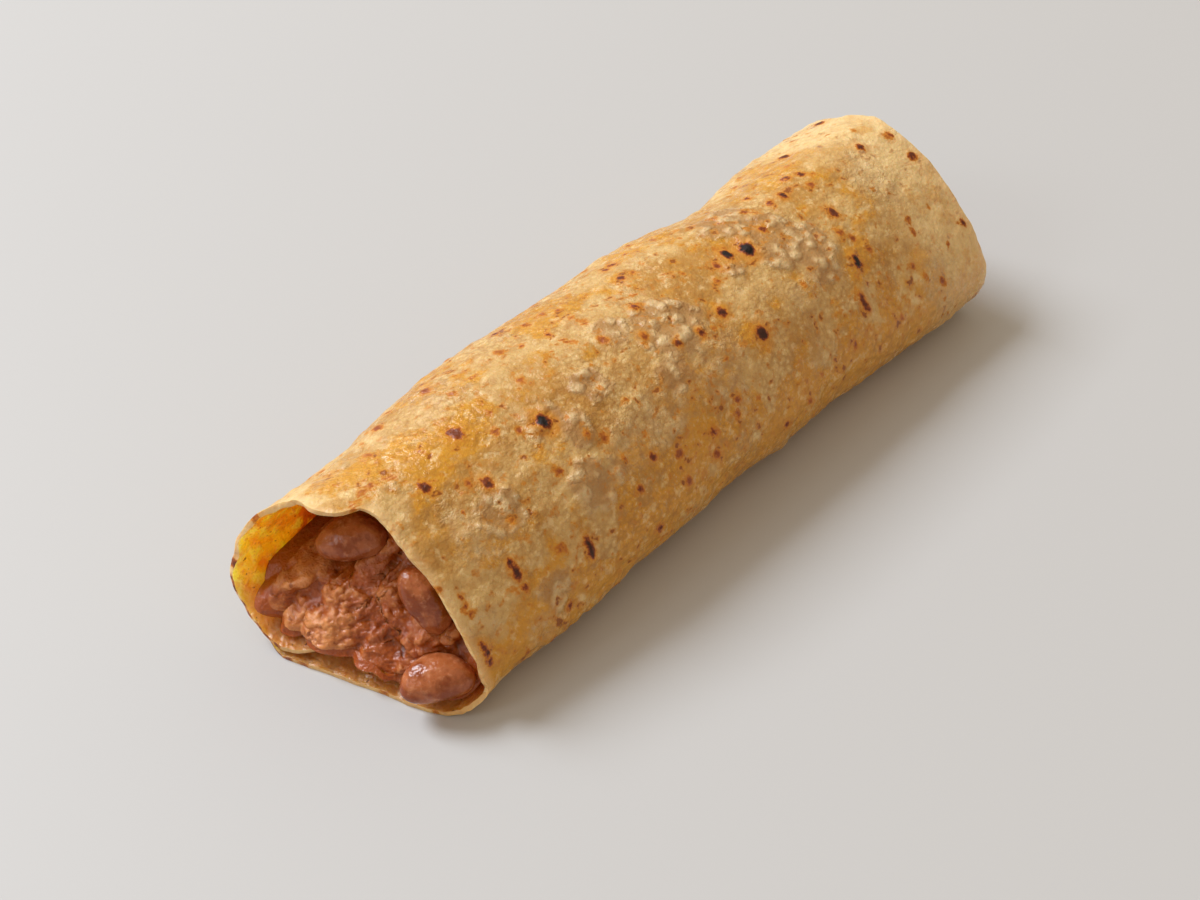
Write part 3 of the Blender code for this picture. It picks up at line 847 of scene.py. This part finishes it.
def boiled_bean(settings):
    """Pinto bean, boiled: a smooth taut skin, wet and shiny, pinkish brown with soft darker streaks."""
    material, tree, shader, where = new_material("boiled_pinto_bean_skin")
    broad, fine, grit = (
        add_node(tree, "TexNoise", {"Vector": where, "Scale": scale_for(size), "Detail": detail,
                                    "Roughness": rough})
        for size, detail, rough in ((5.0, 3.0, 0.6), (1.4, 4.0, 0.6), (0.7, 2.0, 0.5))
    )
    colour = lay_colours(tree, settings.skin, (
        (broad, 0.42, 0.62, 1.0, settings.streak),
        (fine, 0.52, 0.70, 0.40, linear("#d4936a")),
        (fine, 0.46, 0.34, 0.45, linear("#853d1b")),
    ))
    finish_surface(
        tree, shader, colour, 0.02, dull=((fine, 0.24),), rises=((broad, 0.5), (fine, 0.15), (grit, 0.05)),
        inputs={"IOR": 1.45, "Subsurface Weight": 0.25, "Subsurface Radius": (1.0, 0.4, 0.2),
                "Subsurface Scale": 1.2 * MM},
    )
    return material


class MakeBeans(bpy.types.Operator):
    """Model each whole bean as a kidney with a wrinkled skin and a dimpled eye"""
    bl_idname = "enchilada.make_beans"
    bl_label = "Make Beans"

    def execute(self, context):
        settings = context.scene.enchilada_beans
        skin = boiled_bean(settings)
        for number, name in enumerate(BEANS):
            shape = bmesh.new()
            bmesh.ops.create_uvsphere(shape, u_segments=BEAN_SEGMENTS, v_segments=BEAN_RINGS, radius=0.5)
            for vertex in shape.verts:
                along = 2.0 * vertex.co.z
                side = vertex.co.x * settings.width / MM - BEAN_BEND * (along ** 2 - 0.5)
                vertex.co = Vector((vertex.co.z * settings.length / MM, side,
                                    vertex.co.y * settings.thickness / MM))
            bmesh.ops.recalc_face_normals(shape, faces=shape.faces)
            shape.normal_update()
            seed = Vector((31.0 * number, 0.0, 0.0))
            for vertex in shape.verts:
                point = vertex.co.copy()
                dents = DENT_HEIGHT * noise.noise(point / DENT_SIZE + seed)
                drawn_out = Vector((point.x / SKIN_CREASE_STRETCH, point.y, point.z))
                creases = SKIN_CREASE_HEIGHT * noise.noise(drawn_out / SKIN_CREASE_SIZE + seed)
                eye = bump(point.x, 0.0, 1.6) * bump(point.z, 0.0, 1.0) * smoothstep(-2.0, -4.0, point.y)
                vertex.co += (dents + creases - EYE_DEPTH * eye - SKIN_SHRINKAGE) * vertex.normal
            bmesh.ops.transform(shape, matrix=bean_frame(name), verts=shape.verts)
            piece = add_piece("pinto_" + name, shape, "bean", name)
            piece.data.materials.append(skin)
        return {"FINISHED"}


# Mash

# The mash's colour follows how raised it is: painted light on the raised parts, painted shade on the low ones
PLAIN_LEVEL = 0.45       # how raised the mash counts, for its colour, where nothing is kneaded
GRAIN_HEIGHT = 0.36      # height of the grains on the crumbs
SKIN_RIPPLES = ((0.22, 0.9),)
BED_GAP = 0.15           # air between a bean and its bed in the mash
BED_STEP = 0.3           # the mash draws back by this much at a time to make the bed
BED_STEPS = 48


class MashSettings(bpy.types.PropertyGroup):
    lump_height: bpy.props.FloatProperty(
        name="Lump height", description="Height of the mash's lumps", default=2.0 * MM, unit="LENGTH",
        precision=4)
    crumb_height: bpy.props.FloatProperty(
        name="Crumb height", description="Height of the crumbs on the lumps", default=0.7 * MM,
        unit="LENGTH", precision=4)
    paste: bpy.props.FloatVectorProperty(
        name="Paste", description="Colour of the bean paste", subtype="COLOR", default=linear("#a04a10"))
    # Painted shade deep between the lumps
    crevice_shade: bpy.props.FloatVectorProperty(
        name="Crevice", description="Colour deep between the lumps", subtype="COLOR",
        default=linear("#662602"))
    # Painted light on top of the lumps
    crest_light: bpy.props.FloatVectorProperty(
        name="Crest", description="Colour on top of the lumps", subtype="COLOR", default=linear("#d28a4e"))


def crumbs(point, size, steepness):
    """Domes drawn out along one diagonal of the mash's face, bent so that no two are alike."""
    bent = point + 0.35 * size * noise.noise_vector(point / (0.8 * size))
    along, across = (bent.z - bent.y) * 0.707, (bent.z + bent.y) * 0.707
    return domes(Vector((bent.x, along / 1.2, across)), size, steepness)


def in_bean(point, frames, margin):
    """Whether the point is inside a bean grown by the margin."""
    for back in frames:
        local = back @ point
        along = 2.0 * local.x / BEAN_LENGTH
        side = local.y + BEAN_BEND * (along ** 2 - 0.5)
        if (
            (local.x / (BEAN_LENGTH / 2.0 + margin)) ** 2
            + (side / (BEAN_WIDTH / 2.0 + margin)) ** 2
            + (local.z / (BEAN_THICKNESS / 2.0 + margin)) ** 2
        ) < 1.0:
            return True
    return False


def bean_mash(settings):
    """Refried pinto beans, mashed: a wet brown paste, pinkish on the crests with painted light and dark in
    the cracks with painted shade.
    """
    material, tree, shader, where = new_material("mashed_pinto_beans")
    raised, smooth, oily = (
        add_node(tree, "Attribute", {}, "Fac", attribute_name=name) for name in ("raised", "smooth", "oily"))
    broad, pink, fine, grit, fleck = (
        add_node(tree, "TexNoise", {"Vector": where, "Scale": scale_for(size), "Detail": detail,
                                    "Roughness": rough})
        for size, detail, rough in (
            (7.0, 3.0, 0.5), (4.0, 3.0, 0.5), (1.8, 4.0, 0.6), (0.9, 3.0, 0.6), (1.9, 2.0, 0.5),
        )
    )
    level = add_node(tree, "Math", {0: raised, 1: 0.35}, operation="SUBTRACT")
    level = add_node(tree, "Math", {0: fine, 1: 0.7, 2: level}, operation="MULTIPLY_ADD")
    granules = add_node(tree, "Math", {0: grit, 1: level}, operation="MULTIPLY")
    # Painted shade and light: low parts take the crevice colour, raised ones the crest colour
    colour = lay_colours(tree, settings.crevice_shade, (
        (level, 0.10, 0.50, 1.0, settings.paste),
        (level, 0.48, 0.95, 1.0, settings.crest_light),
        (pink, 0.52, 0.64, 0.50, linear("#b4683e")),
        (broad, 0.50, 0.66, 0.45, linear("#a84e10")),
        (fleck, 0.64, 0.70, 0.55, linear("#74300c")),
        (smooth, 0.2, 1.0, 0.55, linear("#ac5a2e")),
        (oily, 0.2, 0.9, 0.80, linear("#b9641a")),
    ))
    finish_surface(
        tree, shader, colour, 0.02, dull=((fine, 0.20), (level, 0.03), (smooth, -0.03)),
        rises=((fine, 0.26), (granules, 0.26), (grit, 0.06)),
        inputs={"IOR": 1.50, "Subsurface Weight": 0.2, "Subsurface Radius": (1.0, 0.4, 0.2),
                "Subsurface Scale": 1.5 * MM},
    )
    return material


class MakeMash(bpy.types.Operator):
    """Spread a sphere's rings over the filling and knead lumps, crumbs and bean beds into its faces"""
    bl_idname = "enchilada.make_mash"
    bl_label = "Make Bean Mash"

    def execute(self, context):
        settings = context.scene.enchilada_mash
        rings = FACE_RINGS + WALL_RINGS + BACK_RINGS
        shape = bmesh.new()
        bmesh.ops.create_uvsphere(shape, u_segments=MASH_SEGMENTS, v_segments=rings, radius=1.0)
        raised, smooth, oily = (shape.verts.layers.float.new(name) for name in ("raised", "smooth", "oily"))
        loose = {}
        for vertex in shape.verts:
            ring = round(math.acos(max(-1.0, min(1.0, vertex.co.z))) / math.pi * rings)
            turn = round(math.atan2(vertex.co.y, vertex.co.x) / math.tau * MASH_SEGMENTS) / MASH_SEGMENTS
            vertex.co = filling_point(ring, turn)
            inward = max(ring - FACE_RINGS, 0) if ring < rings / 2 else max(rings - BACK_RINGS - ring, 0)
            outer = ring / FACE_RINGS if ring < rings / 2 else (rings - ring) / BACK_RINGS
            loose[vertex] = smoothstep(1.0, 0.93, outer) if not inward else 0.0
            vertex[raised] = PLAIN_LEVEL
        bmesh.ops.recalc_face_normals(shape, faces=shape.faces)
        lump_height, crumb_height = settings.lump_height / MM, settings.crumb_height / MM
        for vertex in shape.verts:
            if vertex.co.x < 0.0 and loose[vertex]:
                bulge, vertex[smooth] = lump_at(vertex.co.yz)
                vertex[oily] = slumped(vertex.co.yz)
                vertex[smooth] = max(vertex[smooth], 0.7 * vertex[oily])
                # The bigger the lump, the lighter it is painted
                vertex[raised] = 0.15 + 0.3 * min(bulge / 4.0, 1.0)
        for size, height, share, steepness in (
            (6.0, lump_height, 0.32, 1.0),
            (2.3, crumb_height, 0.26, 0.8),
            (1.2, GRAIN_HEIGHT, 0.15, 0.6),
        ):
            shape.normal_update()
            moved = {}
            for vertex in shape.verts:
                rough = loose[vertex] * (1.0 - vertex[smooth])
                if rough:
                    mixed = smoothstep(-0.45, 0.10, noise.noise(vertex.co / (2.5 * size)))
                    dome = crumbs(vertex.co, size, steepness) * mixed
                    vertex[raised] += share * dome
                    moved[vertex] = rough * height * (dome - 0.5) * vertex.normal
            for vertex, move in moved.items():
                vertex.co += move
        shape.normal_update()
        for vertex in shape.verts:
            vertex.co += loose[vertex] * ripples(vertex.co, SKIN_RIPPLES) * vertex.normal
        frames = [bean_frame(name).inverted() for name in BEANS]
        for vertex in shape.verts:
            if loose[vertex] == 0.0:
                continue
            inwards = Vector((1.0 if vertex.co.x < 0.0 else -1.0, 0.0, 0.0))
            for step in range(BED_STEPS):
                if not in_bean(vertex.co, frames, BED_GAP):
                    break
                vertex.co += BED_STEP * inwards
        piece = add_piece("bean_mash", shape, "bean_filling", "bean_filling")
        piece.data.materials.append(bean_mash(settings))
        return {"FINISHED"}


# Stage, in metres

FLOOR_WIDTH = 1.5
LAMP_TARGET = (0.0, 0.0, 0.02)
SOFT_LAMP = (-0.62, 2.18, 2.18)
FRONT_LAMP = (-2.20, 0.75, 1.55)
CAMERA = (-0.2101, -0.1830, 0.2648)
CAMERA_TARGET = (-0.0055, 0.0045, 0.0)


class StageSettings(bpy.types.PropertyGroup):
    floor: bpy.props.FloatVectorProperty(
        name="Floor", description="Colour of the floor", subtype="COLOR", default=linear("#bebebd"))
    lamp_power: bpy.props.FloatProperty(
        name="Lamp power", description="Power of the large soft lamp", default=117.0, unit="POWER")
    lamp_colour: bpy.props.FloatVectorProperty(
        name="Lamp colour", description="Colour of both lamps", subtype="COLOR", default=linear("#ecf4ff"))
    front_power: bpy.props.FloatProperty(
        name="Front lamp power", description="Power of the weak lamp from the front", default=7.0,
        unit="POWER")
    fill: bpy.props.FloatProperty(
        name="Fill", description="Strength of the light from all round", default=0.57)
    fill_colour: bpy.props.FloatVectorProperty(
        name="Fill colour", description="Colour of the light from all round", subtype="COLOR",
        default=linear("#ffeacf"))
    lens: bpy.props.FloatProperty(
        name="Lens", description="Focal length of the camera in millimetres", default=50.0)


def aim(thing, place, target):
    thing.location = place
    thing.rotation_euler = (Vector(target) - Vector(place)).to_track_quat("-Z", "Y").to_euler()


class MakeStage(bpy.types.Operator):
    """Set up the pale floor, the soft lamps from behind and from the front, and the camera"""
    bl_idname = "enchilada.make_stage"
    bl_label = "Make Stage"

    def execute(self, context):
        settings = context.scene.enchilada_stage
        scene = context.scene
        scene.view_settings.view_transform = "Standard"
        shape = bmesh.new()
        bmesh.ops.create_grid(shape, x_segments=1, y_segments=1, size=FLOOR_WIDTH)
        mesh = bpy.data.meshes.new("floor")
        shape.to_mesh(mesh)
        shape.free()
        floor = bpy.data.objects.new("floor", mesh)
        scene.collection.objects.link(floor)
        # Painted board: an even, nearly matt pale surface
        material, tree, shader = new_material("painted_board_matt")[:3]
        fill_inputs(tree, shader, {"Base Color": settings.floor, "Roughness": 0.6})
        floor.data.materials.append(material)

        world = bpy.data.worlds.new("soft_room")
        world.use_nodes = True
        tree = world.node_tree
        light = {"Color": settings.fill_colour, "Strength": settings.fill}
        fill_inputs(tree, tree.nodes["Background"], light)
        scene.world = world

        for name, power, width, place in (
            ("soft_lamp", settings.lamp_power, 1.3, SOFT_LAMP),
            ("front_lamp", settings.front_power, 0.7, FRONT_LAMP),
        ):
            lamp = bpy.data.objects.new(name, bpy.data.lights.new(name, "AREA"))
            lamp.data.shape = "RECTANGLE"
            lamp.data.size = lamp.data.size_y = width
            lamp.data.energy = power
            lamp.data.color = settings.lamp_colour
            aim(lamp, place, LAMP_TARGET)
            scene.collection.objects.link(lamp)

        camera = bpy.data.objects.new("camera", bpy.data.cameras.new("camera"))
        camera.data.lens = settings.lens
        camera.data.clip_start = 0.01
        aim(camera, CAMERA, CAMERA_TARGET)
        scene.collection.objects.link(camera)
        scene.camera = camera
        return {"FINISHED"}


class EnchiladaPanel(bpy.types.Panel):
    """The enchilada's sizes, colours and pieces"""
    bl_idname = "VIEW3D_PT_enchilada"
    bl_label = "Bean Enchilada"
    bl_space_type = "VIEW_3D"
    bl_region_type = "UI"
    bl_category = "Enchilada"

    def draw(self, context):
        for name, (group, operator) in STEPS.items():
            box = self.layout.box()
            for field in group.__annotations__:
                box.prop(getattr(context.scene, name), field)
            box.operator(operator.bl_idname)


STEPS = {
    "enchilada_tortilla": (TortillaSettings, MakeTortilla),
    "enchilada_mash": (MashSettings, MakeMash),
    "enchilada_beans": (BeanSettings, MakeBeans),
    "enchilada_stage": (StageSettings, MakeStage),
}


def register():
    for name, (group, operator) in STEPS.items():
        bpy.utils.register_class(group)
        bpy.utils.register_class(operator)
        setattr(bpy.types.Scene, name, bpy.props.PointerProperty(type=group))
    bpy.utils.register_class(EnchiladaPanel)


def unregister():
    bpy.utils.unregister_class(EnchiladaPanel)
    for name, (group, operator) in STEPS.items():
        delattr(bpy.types.Scene, name)
        bpy.utils.unregister_class(operator)
        bpy.utils.unregister_class(group)


def main():
    register()
    bpy.ops.enchilada.make_tortilla()
    bpy.ops.enchilada.make_mash()
    bpy.ops.enchilada.make_beans()
    bpy.ops.enchilada.make_stage()


if __name__ == "__main__":
    main()
